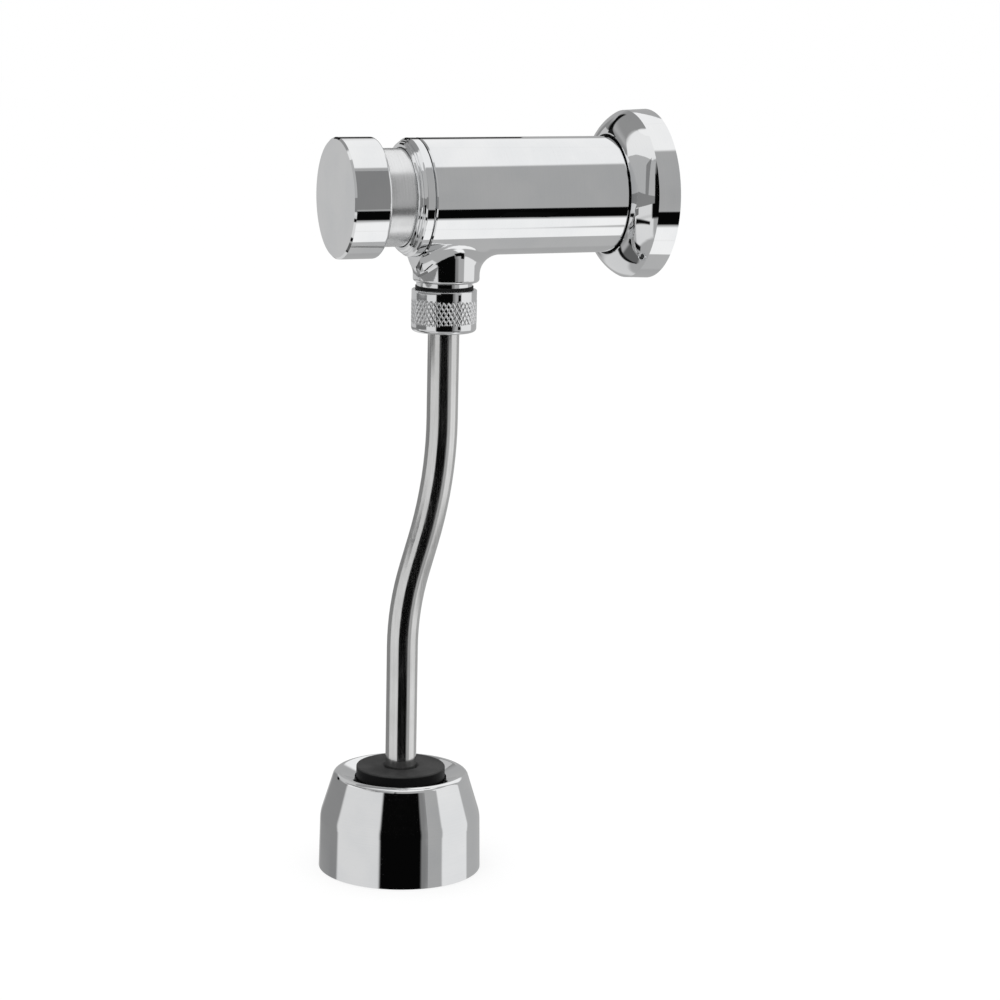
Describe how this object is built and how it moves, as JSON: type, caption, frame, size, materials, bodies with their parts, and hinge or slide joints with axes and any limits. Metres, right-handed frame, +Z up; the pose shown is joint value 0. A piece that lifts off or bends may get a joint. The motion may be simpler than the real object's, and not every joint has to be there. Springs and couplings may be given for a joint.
{
  "type": "urinal flush valve",
  "caption": "Wall-mounted self-closing push-button flush valve with wall flange, knurled coupling nut, cranked flush tube and bell-shaped foot cover.",
  "frame": {"origin": "centre of the threaded inlet in the plane of the wall", "axes": "+Y into the wall along the valve's axis, -Y towards the user, +Z up, +X to the right of someone who looks along +Y"},
  "size_m": [0.0688, 0.147, 0.3108],
  "materials": {
    "polished_chrome": "mirror-polished chrome plate on brass",
    "satin_chrome": "satin chrome plate with fine turning marks",
    "satin_steel": "stainless tube, lightly polished along its length",
    "spring_steel": "bright drawn stainless wire",
    "brass": "machined brass",
    "black_rubber": "matt black rubber",
    "white_acetal": "off-white moulded acetal",
    "grey_acetal": "dark grey moulded acetal"
  },
  "bodies": {
    "valve": {"valve_body": "polished_chrome", "inlet_nipple": "brass", "inlet_gasket": "black_rubber", "inlet_filter": "grey_acetal", "flow_limiter": "white_acetal", "front_collar": "polished_chrome", "cartridge_cap": "brass", "cap_o_ring": "black_rubber", "stem_o_ring": "black_rubber", "cartridge_housing": "white_acetal", "housing_o_ring": "black_rubber", "timer_cylinder": "grey_acetal", "metering_screw": "brass", "neck_ring": "black_rubber", "outlet_washer": "black_rubber", "return_spring": "spring_steel"},
    "button": {"push_button": "polished_chrome", "button_skirt": "satin_chrome", "button_stem": "brass", "main_seal": "black_rubber", "seal_carrier": "brass", "timer_piston": "white_acetal", "cup_seal": "black_rubber", "stem_lock_nut": "brass"},
    "flange": {"wall_flange": "polished_chrome", "flange_ring": "black_rubber"},
    "ring": {"slip_ring": "white_acetal"},
    "nut": {"coupling_nut": "polished_chrome"},
    "tube": {"flush_tube": "satin_steel", "tube_collar": "brass", "spud_seal": "black_rubber"},
    "bell": {"bell_cover": "polished_chrome", "bell_grommet": "black_rubber"}
  },
  "joints": [
    {"name": "button_press", "type": "slide", "parent": "valve", "child": "button", "axis": [0, 1, 0], "range_m": [0, 0.007], "stiffness_N_per_m": 2000, "springref_m": -0.006, "deforming": ["return_spring"]},
    {"name": "flange_slide", "type": "slide", "parent": "valve", "child": "flange", "axis": [0, -1, 0], "range_m": [0, 0.04]},
    {"name": "nut_travel", "type": "slide", "parent": "valve", "child": "ring", "axis": [0, 0, -1], "range_m": [0, 0.0091]},
    {"name": "nut_turn", "type": "hinge", "parent": "ring", "child": "nut", "pos_m": [0, -0.0874, -0.0455], "axis": [0, 0, -1], "range_deg": [0, 1800]},
    {"name": "tube_swivel", "type": "hinge", "parent": "valve", "child": "tube", "pos_m": [0, -0.0874, -0.0475], "axis": [0, 0, 1], "continuous": true},
    {"name": "bell_slide", "type": "slide", "parent": "tube", "child": "bell", "axis": [0, 0, 1], "range_m": [0, 0.048]}
  ],
  "couplings": [
    {"joint": "nut_travel", "follows": "nut_turn", "m_per_rad": 0.0002887}
  ]
}
